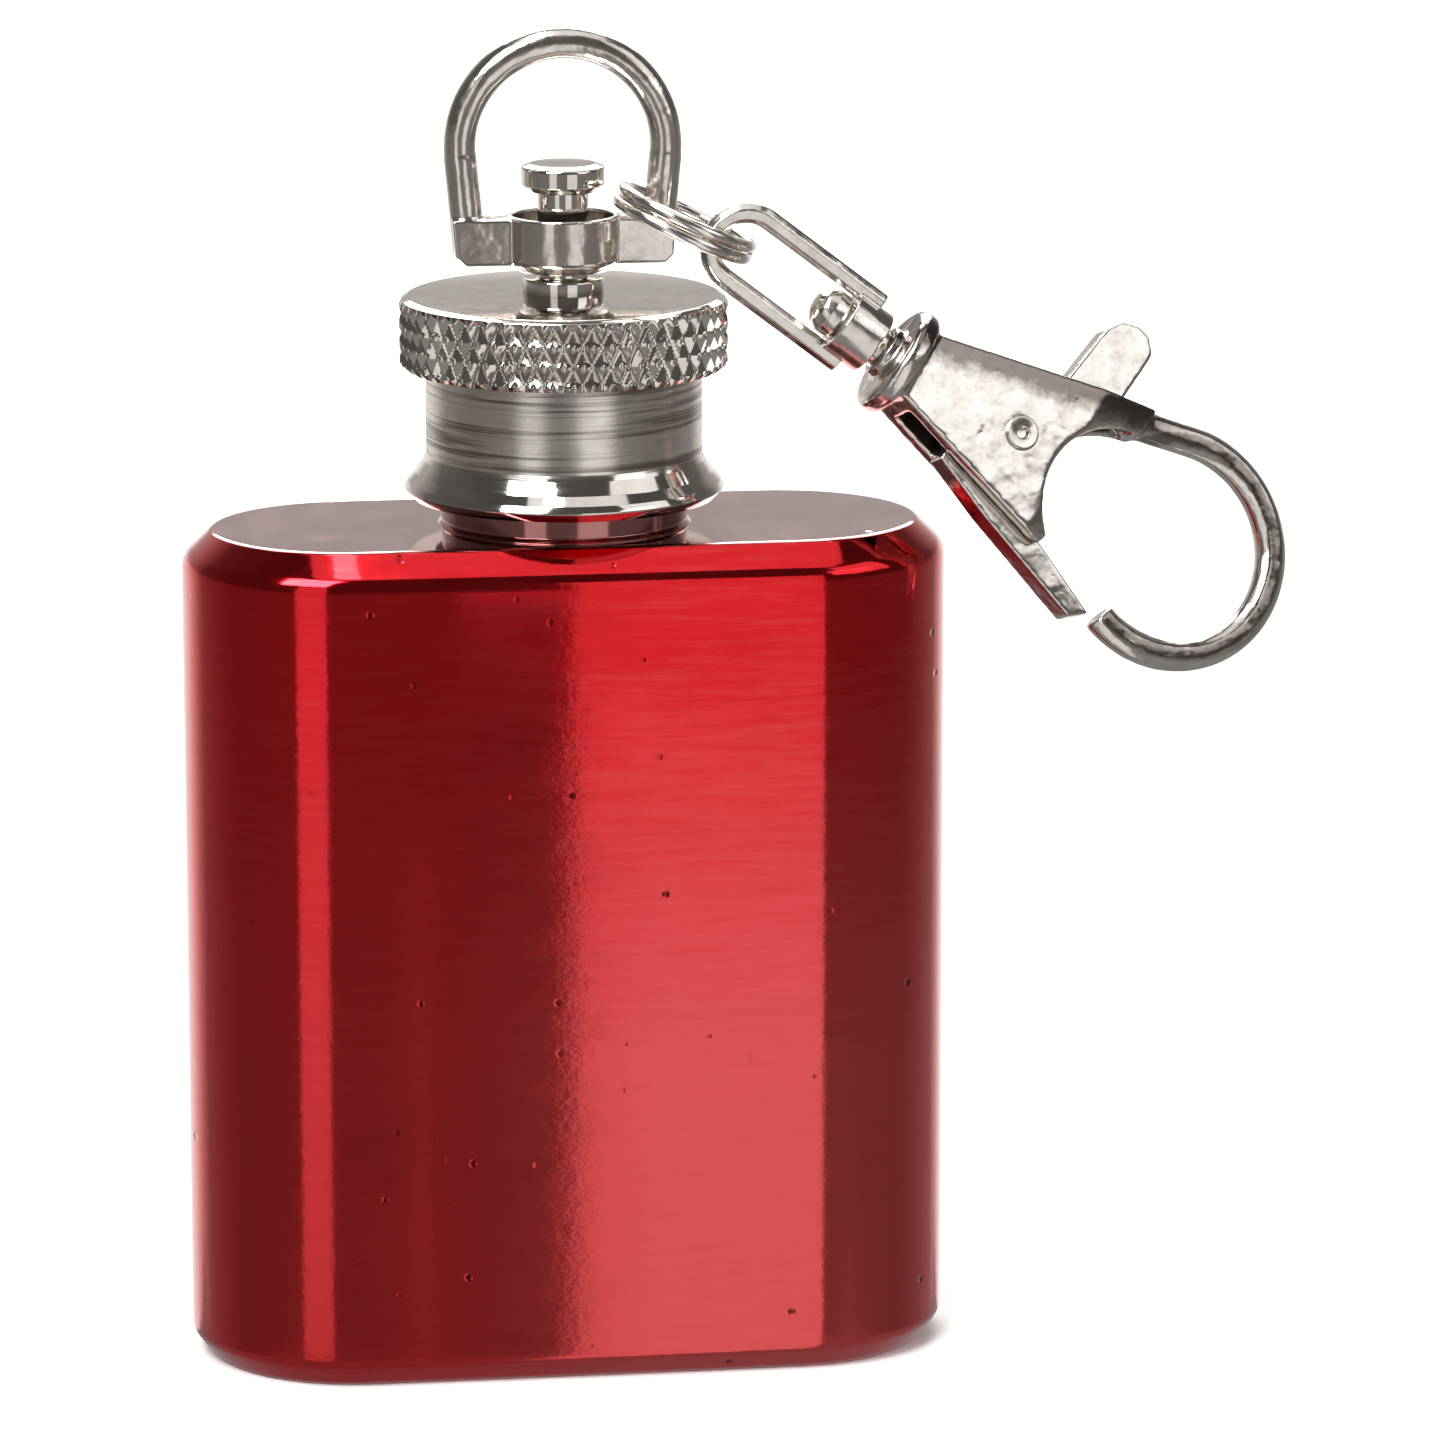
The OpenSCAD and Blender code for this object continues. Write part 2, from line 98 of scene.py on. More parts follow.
def filleted(points, steps=4):
    """Closed outline whose corners (x, y, radius) are rounded by arcs."""
    out = []
    n = len(points)
    for i, (x, y, r) in enumerate(points):
        here = Vector((x, y))
        if r <= 0:
            out.append((x, y))
            continue
        a = (Vector(points[i - 1][:2]) - here).normalized()
        b = (Vector(points[(i + 1) % n][:2]) - here).normalized()
        half = a.angle(b) / 2
        reach = r / math.tan(half)
        centre = here + (a + b).normalized() * (r / math.sin(half))
        p, q = here + a * reach - centre, here + b * reach - centre
        turn = math.atan2(p.x * q.y - p.y * q.x, p.dot(q))
        for k in range(steps + 1):
            t = turn * k / steps
            out.append((centre.x + p.x * math.cos(t) - p.y * math.sin(t),
                        centre.y + p.x * math.sin(t) + p.y * math.cos(t)))
    return out


def lathe(outline, segments=128, radius=None):
    """Closed solid turned about z from an outline of (r, z); points on the axis become single."""
    verts, faces, rings = [], [], []
    for r, z in outline:
        if r < 1e-6:
            rings.append([len(verts)] * segments)
            verts.append((0, 0, z))
            continue
        rings.append(list(range(len(verts), len(verts) + segments)))
        for s in range(segments):
            a = TAU * s / segments
            rr = radius(r, z, a) if radius else r
            verts.append((rr * math.cos(a), rr * math.sin(a), z))
    for i, ring in enumerate(rings):
        nxt = rings[(i + 1) % len(rings)]
        for s in range(segments):
            t = (s + 1) % segments
            quad = [ring[s], ring[t], nxt[t], nxt[s]]
            quad = [v for k, v in enumerate(quad) if v != quad[k - 1]]
            if len(set(quad)) > 2:
                faces.append(quad)
    return verts, faces


def sweep(path, section):
    """Closed tube of that section along an open path, its ends capped flat."""
    verts, faces = [], []
    n, m = len(path), len(section)
    side = None
    for i, p in enumerate(path):
        ahead = (path[min(i + 1, n - 1)] - path[max(i - 1, 0)]).normalized()
        ref = side or ahead.orthogonal()
        side = (ref - ahead * ref.dot(ahead)).normalized()
        up = ahead.cross(side)
        verts += [p + side * u + up * v for u, v in section]
    for i in range(n - 1):
        for k in range(m):
            j = (k + 1) % m
            faces.append([i * m + k, i * m + j, (i + 1) * m + j, (i + 1) * m + k])
    faces += [list(range(m)), list(range((n - 1) * m, n * m))]
    return verts, faces


def circle_section(r, n=16):
    return [(r * math.cos(TAU * k / n), r * math.sin(TAU * k / n)) for k in range(n)]


def joined(*parts):
    """Several (verts, faces) as one."""
    verts, faces = [], []
    for v, f in parts:
        faces += [[i + len(verts) for i in face] for face in f]
        verts += v
    return verts, faces


def moved(part, matrix):
    return [matrix @ Vector(v) for v in part[0]], part[1]


def softened(name, node, material, voxel, passes):
    """A cast copy of a CAD solid: remeshed evenly, then relaxed so that its edges are worn round."""
    obj = bpy.data.objects.new(name, frame["nodes"][node].data.copy())
    bpy.context.scene.collection.objects.link(obj)
    remesh = obj.modifiers.new("remesh", "REMESH")
    remesh.mode, remesh.voxel_size = "VOXEL", voxel * MM
    relax = obj.modifiers.new("relax", "SMOOTH")
    relax.factor, relax.iterations = 0.5, passes
    mesh = bpy.data.meshes.new_from_object(obj.evaluated_get(bpy.context.evaluated_depsgraph_get()))
    obj.modifiers.clear()
    obj.data = mesh
    mesh.name = name
    mesh.materials.clear()
    mesh.materials.append(material)
    mesh.shade_smooth()
    return obj


# ---- material helpers ----

class Nodes:
    """Short forms for the shader nodes used below; coordinates are the object's own, in millimetres."""

    def __init__(self, name):
        self.material = bpy.data.materials.new(name)
        self.material.use_nodes = True
        self.tree = self.material.node_tree
        self.shader = self.tree.nodes["Principled BSDF"]
        coords = self.tree.nodes.new("ShaderNodeTexCoord").outputs["Object"]
        self.mm = self.vector("SCALE", coords, scale=1 / MM)

    def link(self, source, socket):
        if isinstance(source, bpy.types.NodeSocket):
            self.tree.links.new(source, socket)
        else:
            socket.default_value = source

    def vector(self, operation, a, b=None, scale=None):
        node = self.tree.nodes.new("ShaderNodeVectorMath")
        node.operation = operation
        self.link(a, node.inputs[0])
        if b is not None:
            self.link(b, node.inputs[1])
        if scale is not None:
            node.inputs["Scale"].default_value = scale
        return node.outputs["Value" if operation in ("LENGTH", "DOT_PRODUCT") else "Vector"]

    def stretch(self, x, y, z):
        return self.vector("MULTIPLY", self.mm, (x, y, z))

    def noise(self, scale, detail=3.0, rough=0.5, at=None, distort=0.0):
        node = self.tree.nodes.new("ShaderNodeTexNoise")
        self.link(at or self.mm, node.inputs["Vector"])
        node.inputs["Scale"].default_value = scale
        node.inputs["Detail"].default_value = detail
        node.inputs["Roughness"].default_value = rough
        node.inputs["Distortion"].default_value = distort
        return node.outputs["Fac"]

    def cells(self, scale, at=None):
        """Distance to the nearest of a scatter of points."""
        node = self.tree.nodes.new("ShaderNodeTexVoronoi")
        self.link(at or self.mm, node.inputs["Vector"])
        node.inputs["Scale"].default_value = scale
        return node.outputs["Distance"]

    def span(self, value, lo, hi, to_lo=0.0, to_hi=1.0):
        node = self.tree.nodes.new("ShaderNodeMapRange")
        for k, v in enumerate((value, lo, hi, to_lo, to_hi)):
            self.link(v, node.inputs[k])
        return node.outputs[0]

    def math(self, operation, a, b=0.0):
        node = self.tree.nodes.new("ShaderNodeMath")
        node.operation = operation
        self.link(a, node.inputs[0])
        self.link(b, node.inputs[1])
        return node.outputs[0]

    def mix(self, factor, a, b):
        node = self.tree.nodes.new("ShaderNodeMix")
        node.data_type = "RGBA"
        self.link(factor, node.inputs[0])
        self.link((*a, 1) if isinstance(a, tuple) else a, node.inputs[6])
        self.link((*b, 1) if isinstance(b, tuple) else b, node.inputs[7])
        return node.outputs[2]

    def split(self, value):
        node = self.tree.nodes.new("ShaderNodeSeparateXYZ")
        self.link(value, node.inputs[0])
        return node.outputs

    def bump(self, height, distance_mm, strength=1.0, under=None):
        node = self.tree.nodes.new("ShaderNodeBump")
        self.link(height, node.inputs["Height"])
        node.inputs["Distance"].default_value = distance_mm * MM
        node.inputs["Strength"].default_value = strength
        if under:
            self.link(under, node.inputs["Normal"])
        return node.outputs["Normal"]

    def finish(self, color, rough, normal=None, **constants):
        self.link((*color, 1) if isinstance(color, tuple) else color, self.shader.inputs["Base Color"])
        self.link(rough, self.shader.inputs["Roughness"])
        if normal:
            self.link(normal, self.shader.inputs["Normal"])
        for name, value in constants.items():
            self.shader.inputs[name.replace("_", " ")].default_value = value
        return self.material


def lacquer_material():
    """Clear red lacquer over bright drawn steel: tinted reflections, a gloss coat, orange peel and pits; a pale
    sheen is painted on low towards the right, and another on the top face.
    """
    n = Nodes("red_lacquer")
    x, _, z = n.split(n.mm)
    cloud = n.noise(0.09, 4, 0.55)
    drawn = n.noise(1.0, 5, 0.65, at=n.stretch(0.25, 0.25, 3.2))
    speck = n.cells(0.42, at=n.stretch(1.0, 0.6, 1.0))
    sparse = n.span(n.noise(0.16, 2, 0.5), 0.47, 0.56)
    pit = n.math("MULTIPLY", n.span(speck, 0.06, 0.11, 1.0, 0.0), sparse)
    # Painted reflection: a pale pink sheen painted on the body, strongest low down and to the right, streaked
    # along the drawing lines.
    low_sheen = n.math("ADD", n.span(z, 18.0, 44.0, 1.0, 0.0), n.span(drawn, 0.3, 0.7, -0.16, 0.16))
    tone = n.mix(n.span(cloud, 0.35, 0.7), (0.62, 0.005, 0.011), (0.72, 0.009, 0.017))
    painted_sheen = n.math("MULTIPLY", n.span(low_sheen, 0.0, 1.0), n.span(x, -8.0, 4.0, 0.3, 1.0))
    tone = n.mix(painted_sheen, tone, (0.74, 0.085, 0.088))
    tone = n.mix(n.span(drawn, 0.45, 0.8, 0.0, 0.22), tone, (0.80, 0.050, 0.058))
    tone = n.mix(n.math("MULTIPLY", pit, 0.85), tone, (0.10, 0.002, 0.004))
    # Painted sheen: the top face is painted a pale greyish pink for the glancing reflection on it.
    top = n.span(z, BODY_H - 0.12, BODY_H - 0.02)
    tone = n.mix(n.math("MULTIPLY", top, 0.95), tone, (0.37, 0.17, 0.16))
    calm = n.span(top, 0.0, 1.0, 1.0, 0.12)
    rough = n.span(n.noise(0.35, 4, 0.6, at=n.stretch(1, 1, 1.6)), 0.3, 0.75, 0.06, 0.15)
    peel = n.math("MULTIPLY", n.noise(1.25, 3, 0.5, distort=0.3), calm)
    fine = n.noise(4.5, 3, 0.6, at=n.stretch(0.55, 0.55, 1.5))
    normal = n.bump(peel, 0.006, 1.0)
    normal = n.bump(n.math("MULTIPLY", fine, n.span(z, 43.0, 37.0, 0.25, 1.0)), 0.006, 1.0, normal)
    normal = n.bump(n.math("SUBTRACT", 1.0, pit), 0.05, 0.8, normal)
    n.link(normal, n.shader.inputs["Coat Normal"])
    return n.finish(tone, rough, normal, Metallic=1.0, Coat_Weight=1.0, Coat_Roughness=0.05, Coat_IOR=1.24)


def clasp_painted_shade(n):
    """Painted shade: dark brown along the clasp's spine, where the cheek curves away, and round the middle of
    its hook.

    x runs along the clasp from its flange and y from its spine to its gate.
    """
    from_flange = n.vector("SUBTRACT", n.mm, (18.974, -3.75, 58.730))
    x = n.vector("DOT_PRODUCT", from_flange, (0.79335, 0.0, -0.60876))
    y = n.vector("DOT_PRODUCT", from_flange, (-0.55173, -0.42262, -0.71902))
    ragged = n.span(n.noise(0.9, 4, 0.65), 0.3, 0.7, -0.45, 0.45)
    spine_slope, spine_at = 0.3443, 1.856
    hook_x, hook_y, hook_r = 19.8, -0.9, 6.35
    from_spine = n.math("ADD", n.math("ADD", y, n.math("MULTIPLY", x, spine_slope)), spine_at)
    spine = n.span(n.math("ADD", from_spine, ragged), 1.0, 2.1, 1.0, 0.0)
    spine = n.math("MULTIPLY", spine, n.span(x, 14.5, 17.5, 1.0, 0.0))
    across, along = n.math("SUBTRACT", x, hook_x), n.math("SUBTRACT", y, hook_y)
    squares = n.math("ADD", n.math("MULTIPLY", across, across), n.math("MULTIPLY", along, along))
    radius = n.math("SQRT", squares)
    off_middle = n.math("ABSOLUTE", n.math("SUBTRACT", radius, hook_r))
    hook = n.span(n.math("ADD", off_middle, n.math("MULTIPLY", ragged, 0.35)), 0.22, 0.48, 1.0, 0.0)
    return n.math("MAXIMUM", spine, n.math("MULTIPLY", hook, 0.85))


def nickel_material(name, cast=1.0, base=(0.70, 0.655, 0.61), painted_shade=None):
    """Nickel plate over cast zinc: slow waviness, small dents, browner where the plate is thin, and painted
    shade where a mask is given.
    """
    n = Nodes(name)
    cloud = n.noise(0.8, 4, 0.6)
    grain = n.noise(6.0, 3, 0.6)
    dull = n.span(n.noise(2.2, 4, 0.65, distort=0.4), 0.42, 0.72)
    tone = n.mix(n.span(cloud, 0.35, 0.7), base, tuple(c * 0.87 for c in base))
    tone = n.mix(n.math("MULTIPLY", dull, 0.16), tone, (0.36, 0.30, 0.26))
    # Painted shade: where a mask is given, the plate is darkened to deep brown there.
    if painted_shade:
        tone = n.mix(n.math("MULTIPLY", painted_shade(n), 0.85), tone, (0.115, 0.09, 0.078))
    rough = n.math("ADD", n.span(cloud, 0.3, 0.7, 0.10, 0.20), n.math("MULTIPLY", dull, 0.08))
    dent = n.cells(1.3)
    normal = n.bump(n.noise(0.55, 2, 0.5, distort=0.2), 0.09 * cast, 1.0)
    normal = n.bump(n.span(dent, 0.0, 0.16), 0.006 * cast, 1.0, normal)
    normal = n.bump(grain, 0.0015, 1.0, normal)
    return n.finish(tone, rough, normal, Metallic=1.0)


def turned_material():
    """Steel turned on a lathe: fine lines round the axis, deeper tool marks here and there, polished top."""
    n = Nodes("turned_steel")
    x, y, z = n.split(n.mm)
    radius = n.vector("LENGTH", n.vector("MULTIPLY", n.mm, (1, 1, 0)))
    along = n.math("ADD", z, n.math("MULTIPLY", radius, 0.73))
    line = n.tree.nodes.new("ShaderNodeCombineXYZ")
    n.link(along, line.inputs[2])
    n.link(n.math("MULTIPLY", x, 0.02), line.inputs[0])
    n.link(n.math("MULTIPLY", y, 0.02), line.inputs[1])
    coarse = n.noise(2.6, 3, 0.7, at=line.outputs[0])
    fine = n.noise(11.0, 3, 0.7, at=line.outputs[0])
    marks = n.span(coarse, 0.47, 0.60)
    flank = n.math("MULTIPLY", n.span(z, 53.0, 53.6), n.span(z, 58.2, 58.5, 1.0, 0.0))
    wear = n.noise(0.7, 4, 0.6)
    tone = n.mix(n.span(wear, 0.35, 0.7), (0.72, 0.68, 0.64), (0.62, 0.575, 0.53))
    tone = n.mix(n.math("MULTIPLY", n.math("MULTIPLY", marks, flank), 0.8), tone, (0.16, 0.135, 0.12))
    rough = n.math("ADD", n.span(fine, 0.3, 0.7, 0.045, 0.10), n.math("MULTIPLY", flank, 0.17))
    normal = n.bump(n.math("MULTIPLY", coarse, flank), 0.07, 0.9)
    normal = n.bump(n.math("MULTIPLY", fine, n.span(flank, 0, 1, 0.12, 1.0)), 0.006, 0.8, normal)
    return n.finish(tone, rough, normal, Metallic=1.0)


def plain_material(name, dark, light, rough, metallic=0.0, scale=3.0):
    """Moulded or drawn stock: mottled tone, uneven sheen and a fine skin."""
    n = Nodes(name)
    cloud = n.noise(scale, 4, 0.6)
    tone = n.mix(n.span(cloud, 0.3, 0.7), dark, light)
    normal = n.bump(n.noise(scale * 5, 3, 0.6), 0.004, 1.0)
    return n.finish(tone, n.span(cloud, 0.3, 0.7, rough * 0.8, rough * 1.2), normal, Metallic=metallic)


LACQUER = lacquer_material()
NICKEL = nickel_material("nickel")
# The clasp's nickel carries painted shade along its spine and round its hook.
CLASP = nickel_material("nickel_clasp", painted_shade=clasp_painted_shade)
WIRE = nickel_material("nickel_wire", cast=0.35, base=(0.78, 0.735, 0.69))
TURNED = turned_material()
LINER = plain_material("liner", (0.70, 0.70, 0.66), (0.82, 0.82, 0.79), 0.5)
SEAL = plain_material("seal", (0.012, 0.012, 0.012), (0.03, 0.03, 0.03), 0.6)
SPRING = plain_material("spring_steel", (0.30, 0.28, 0.26), (0.46, 0.43, 0.40), 0.28, 1.0)


# ---- camera ----

def make_camera():
    azimuth, distance, height = math.radians(-6.89), 449.5, 137.4
    yaw, pitch, focal_px, side_px = math.radians(-8.06), math.radians(12.57), 7886.4, 1445
    cam = bpy.data.objects.new("camera", bpy.data.cameras.new("camera"))
    bpy.context.scene.collection.objects.link(cam)
    cam.location = (distance * math.sin(azimuth) * MM, -distance * math.cos(azimuth) * MM, height * MM)
    cam.rotation_euler = (math.pi / 2 - pitch, 0, yaw)
    cam.data.sensor_width = 36
    cam.data.lens = 36 * focal_px / side_px
    cam.data.clip_start, cam.data.clip_end = 0.01, 20
    bpy.context.scene.camera = cam


make_camera()


# ---- flask ----

def plan_ring(inset, z, arc=28, flat=18):
    """One loop of the flask's plan; the broad faces bow out by a hair between their creases."""
    inside_box, bow = 0.006, 0.07
    r = END_R - inset - inside_box
    ring = []
    for side in (-1, 1):
        for k in range(arc + 1):
            a = -math.pi / 2 * side + math.pi * k / arc
            ring.append((side * END_X + r * math.cos(a), (r - bow) * math.sin(a), z))
        for k in range(1, flat):
            x = side * END_X - side * 2 * END_X * k / flat
            ring.append((x, side * (r - bow * (x / END_X) ** 2), z))
    return ring


def flask_body():
    """Side wall, shoulder and base as one closed skin with the wall's thickness."""
    stations = [(0.0, z, 0) for z in (2.6, 3.4, 12, 21, 30, 38, 44.6, 46.0)]
    foot = [(9.0, 0.0, 0), (1.9, 0.0, 0), (1.1, 0.0, 0.7), (0.0, 1.4, 1.0)]
    shoulder = [(0.0, 47.6, 1.5), (1.7, BODY_H, 0.55), (2.0, BODY_H, 0)]
    profile = filleted(foot + stations + shoulder, 6)
    outer = [plan_ring(i, z) for i, z in profile]
    inner = [plan_ring(i + WALL, min(max(z, WALL), BODY_H - WALL)) for i, z in profile]

    def toward_neck(ring, share, r, z):
        out = []
        for x, y, _ in ring:
            a = math.atan2(y, x)
            out.append((x + (r * math.cos(a) - x) * share, y + (r * math.sin(a) - y) * share, z))
        return out

    top, under = outer[-1], inner[-1]
    hole = COLLAR_R - 0.05
    rings = inner[:-1]
    rings += [toward_neck(under, s, hole, BODY_H - WALL) for s in (0, 0.5, 1)]
    rings += [toward_neck(top, s, hole, BODY_H) for s in (1, 0.97, 0.75, 0.5, 0.25, 0)]
    rings += outer[-2::-1]
    m = len(rings[0])
    verts = [v for ring in rings for v in ring]
    faces = [[i * m + k, i * m + (k + 1) % m, (i + 1) * m + (k + 1) % m, (i + 1) * m + k]
             for i in range(len(rings) - 1) for k in range(m)]
    faces += [list(range(m)), list(range((len(rings) - 1) * m, len(rings) * m))]
    obj = new_object("flask_body", verts, faces, LACQUER, 50)
    return place(obj, "flask", "red_lacquer", "body_shell", "shoulder_plate", "base_plate")


def helix(r_root, r_crest, z0, turns, steps=72):
    """Thread ridge of trapezoid section with run-out ends."""
    verts, faces = [], []
    n = round(turns * steps)
    for i in range(n + 1):
        a = TAU * i / steps
        share = min(1, (i + 1) / (steps / 5), (n - i + 1) / (steps / 5))
        crest = r_root + (r_crest - r_root) * share
        flank = crest - (crest - r_root) * 0.12
        ridge = ((r_root, -0.4), (flank, -0.2), (crest, -0.13), (crest, 0.13), (flank, 0.2), (r_root, 0.4))
        for r, dz in ridge:
            verts.append((r * math.cos(a), r * math.sin(a), z0 + PITCH * i / steps + dz))
    for i in range(n):
        for k in range(6):
            j = (k + 1) % 6
            faces.append([i * 6 + k, i * 6 + j, (i + 1) * 6 + j, (i + 1) * 6 + k])
    faces += [list(range(6)), list(range(n * 6, n * 6 + 6))]
    return verts, faces


def neck():
    """Collar through the shoulder and a threaded spout, with a bore down into the flask."""
    body = lathe(filleted([
        (BORE_R, 48.1, 0), (7.9, 48.1, 0), (7.9, 48.7, 0), (COLLAR_R, 48.7, 0), (COLLAR_R, 49.0, 0),
        (COLLAR_R + 0.28, 49.22, 0.05), (COLLAR_R, 49.5, 0.2), (COLLAR_R, 51.4, 0.18), (ROOT_R, 51.4, 0.1),
        (ROOT_R, Z_RIM, 0.25), (BORE_R, Z_RIM, 0.25)]), 160)
    obj = new_object("neck_spout", *joined(body, helix(ROOT_R - 0.1, CREST_R, Z_THREAD, TURNS)), LACQUER)
    return place(obj, "flask", "red_lacquer", "neck")


flask_body()
neck()


# ---- cap ----

KNURL_TOP = Z_CAP_TOP - CROWN - RIM_ROUND
KNURL_FOOT = KNURL_TOP - KNURL_H
KNURL_COUNT, KNURL_ROWS, KNURL_DEPTH = 52, 1.5, 0.40


def knurl(r, z, a):
    """Radius of the head with two crossing families of cut grooves, leaving rows of pointed diamonds."""
    if r < HEAD_R - 0.02 or not KNURL_FOOT - 0.02 <= z <= KNURL_TOP + 0.02:
        return r
    around = a * KNURL_COUNT / TAU
    up = (z - KNURL_FOOT) / KNURL_H * KNURL_ROWS
    first = abs((around + up) % 1.0 - 0.5) * 2
    second = abs((around - up) % 1.0 - 0.5) * 2
    cut = max(first, second)
    wobble = 0.025 * math.sin(7 * a + 3 * z) + 0.02 * math.sin(17 * a - 5 * z)
    return r - KNURL_DEPTH * min(1.0, max(0.0, (cut - 0.22 + wobble) / 0.74))


def cap():
    """One turned shell: skirt, barrel and a knurled head with a low crown."""
    rows = 30
    band = [(HEAD_R, KNURL_FOOT + KNURL_H * k / rows, 0) for k in range(rows + 1)]
    outline = [(0, Z_CAP_TOP - 0.6, 0), (SHELL_R, Z_CAP_TOP - 0.8, 0.2), (SHELL_R, Z_CAP, 0.05),
               (SKIRT_R - 0.5, Z_CAP, 0.08), (SKIRT_R, Z_CAP + 0.55, 0.1), (SKIRT_R - 0.22, Z_CAP + 0.95, 0.15),
               (BARREL_R + 0.62, Z_CAP + 1.45, 0.3), (BARREL_R + 0.16, Z_CAP + 2.2, 0.25),
               (BARREL_R, Z_CAP + 2.55, 0.1), (BARREL_R, KNURL_FOOT - 0.3, 0.08),
               (HEAD_R - 0.35, KNURL_FOOT - 0.3, 0.05)]
    outline += band
    outline += [(HEAD_R - 0.12, KNURL_TOP + 0.28, 0.1), (HEAD_R - 0.5, Z_CAP_TOP - CROWN, 0.18),
                (5.5, Z_CAP_TOP - 0.09, 0), (2.5, Z_CAP_TOP - 0.02, 0), (0, Z_CAP_TOP, 0)]
    obj = new_object("cap_turned", *lathe(filleted(outline), 520, knurl), TURNED, 40)
    place(obj, "cap", "turned_steel", "cap_shell")


def stud():
    """Shouldered stud: foot in the cap's roof, shank for the bail, dished head."""
    z = Z_CAP_TOP
    outline = filleted([
        (0, z - 1.45, 0), (2.2, z - 1.45, 0.2), (2.2, z - 0.65, 0.05), (1.38, z - 0.65, 0), (1.38, z - 0.01, 0),
        (2.35, z - 0.01, 0), (2.35, z + 0.85, 0.16), (STUD_R, z + 0.85, 0.1), (STUD_R, Z_STUD_HEAD, 0.08),
        (1.92, Z_STUD_HEAD, 0.06), (2.42, Z_STUD_HEAD + 0.4, 0.1), (2.42, Z_STUD_HEAD + 1.42, 0.22),
        (1.9, Z_STUD_HEAD + 1.6, 0.1), (0, Z_STUD_HEAD + 1.65, 0)])
    obj = new_object("swivel_stud", *lathe(outline, 96), TURNED)
    place(obj, "cap", "turned_steel", "cap_stud")


def liner():
    """Threaded liner, and the washer that seals the neck's rim."""
    shell = lathe(filleted([(0, 59.8, 0), (6.91, 59.8, 0.1), (6.91, 51.7, 0.1), (7.48, 51.7, 0.1),
                            (7.48, 60.8, 0.2), (0, 60.8, 0)]), 128)
    obj = new_object("thread_liner", *joined(shell, helix(7.01, 6.49, Z_THREAD + PITCH / 2, 2.4)), LINER)
    place(obj, "cap", "liner", "cap_liner")
    seal = lathe(filleted([(2.4, 58.7, 0.15), (6.39, 58.7, 0.2), (6.39, 59.7, 0.2), (2.4, 59.7, 0.15)]), 96)
    place(new_object("seal_disc", *seal, SEAL), "seal", "seal", "seal_washer")


cap()
stud()
liner()


# ---- bail, ring and swivel ----

def split_ring():
    """Two coils of round wire with one crossing; the wire's cut ends stop short of it."""
    step, cross, gap = RING_WIRE + 0.04, math.radians(9), math.radians(3)
    centre = Vector(RING_AT) + Vector((RING_R * math.cos(RING_A), 0, -RING_R * math.sin(RING_A)))
    along = Vector((math.cos(RING_A), 0, -math.sin(RING_A)))
    across, lift = Vector((0, 1, 0)), Vector((math.sin(RING_A), 0, math.cos(RING_A)))
    start, end = -TAU + cross + gap, TAU - cross - gap
    steps = 220
    path = []
    for i in range(steps + 1):
        a = start + (end - start) * i / steps
        s = max(-1.0, min(1.0, a / cross))
        h = step / 2 * math.sin(s * math.pi / 2)
        path.append(centre + (along * math.cos(a) + across * math.sin(a)) * RING_R + lift * h)
    obj = new_object("split_ring_wire", *sweep(path, circle_section(RING_WIRE / 2, 14)), WIRE, 40)
    place(obj, "ring", "nickel", "split_ring")


def clasp_frame(at):
    """Matrix whose z runs along the swivel axis and whose x points to the gate side."""
    m = Matrix((AXIS_N, AXIS_U.cross(AXIS_N), AXIS_U)).transposed().to_4x4()
    m.translation = at
    return m


def swivel_pin():
    """Domed head inside the loop and a shank through its sleeve into the clasp's flange."""
    start = FLANGE_AT - AXIS_U * 6.15
    outline = filleted([(0, 0, 0), (0.6, 0.06, 0.3), (1.15, 0.45, 0.5), (1.38, 1.0, 0.2), (1.38, 1.75, 0.12),
                        (1.1, 1.75, 0.05), (1.1, 6.15, 0.05), (0, 6.15, 0)])
    obj = new_object("swivel_rivet", *moved(lathe(outline, 72), clasp_frame(start)), NICKEL)
    place(obj, "clasp", "nickel", "swivel_pin")


def gate_rivet():
    """Shank with low heads, each dished at its centre."""
    half = 2.0
    head = [(0.79, half, 0), (1.05, half, 0.02), (0.98, half + 0.2, 0.12),
            (0.42, half + 0.12, 0.08), (0.28, half - 0.1, 0), (0, half - 0.12, 0)]
    outline = [(r, -z, fillet) for r, z, fillet in reversed(head)] + head
    m = Matrix((AXIS_U, AXIS_N, AXIS_W)).transposed().to_4x4()
    m.translation = PIVOT
    obj = new_object("gate_pin", *moved(lathe(filleted(outline), 64), m), NICKEL)
    place(obj, "clasp", "nickel", "gate_rivet")


def gate_spring():
    """Three close turns round the rivet, with a straight leg braced on the spine."""
    m = Matrix((AXIS_U, AXIS_N, AXIS_W)).transposed().to_4x4()
    m.translation = PIVOT
    r, lead, z0, wire_r, leg = 1.22, 0.29, 0.07, 0.15, 3.6
    per_turn = 36
    last = 3 * per_turn
    path = []
    for i in range(last + 1):
        a = -TAU / 4 - TAU * (i - last) / per_turn
        path.append(m @ Vector((r * math.cos(a), r * math.sin(a), z0 + lead * i / per_turn)))
    lean = math.radians(7)
    for k in range(1, 6):
        path.append(path[last] + (AXIS_W * math.sin(lean) - AXIS_U * math.cos(lean)) * (leg * k / 5))
    obj = new_object("coil_spring", *sweep(path, circle_section(wire_r, 10)), SPRING)
    place(obj, "clasp", "spring_steel", "gate_spring")


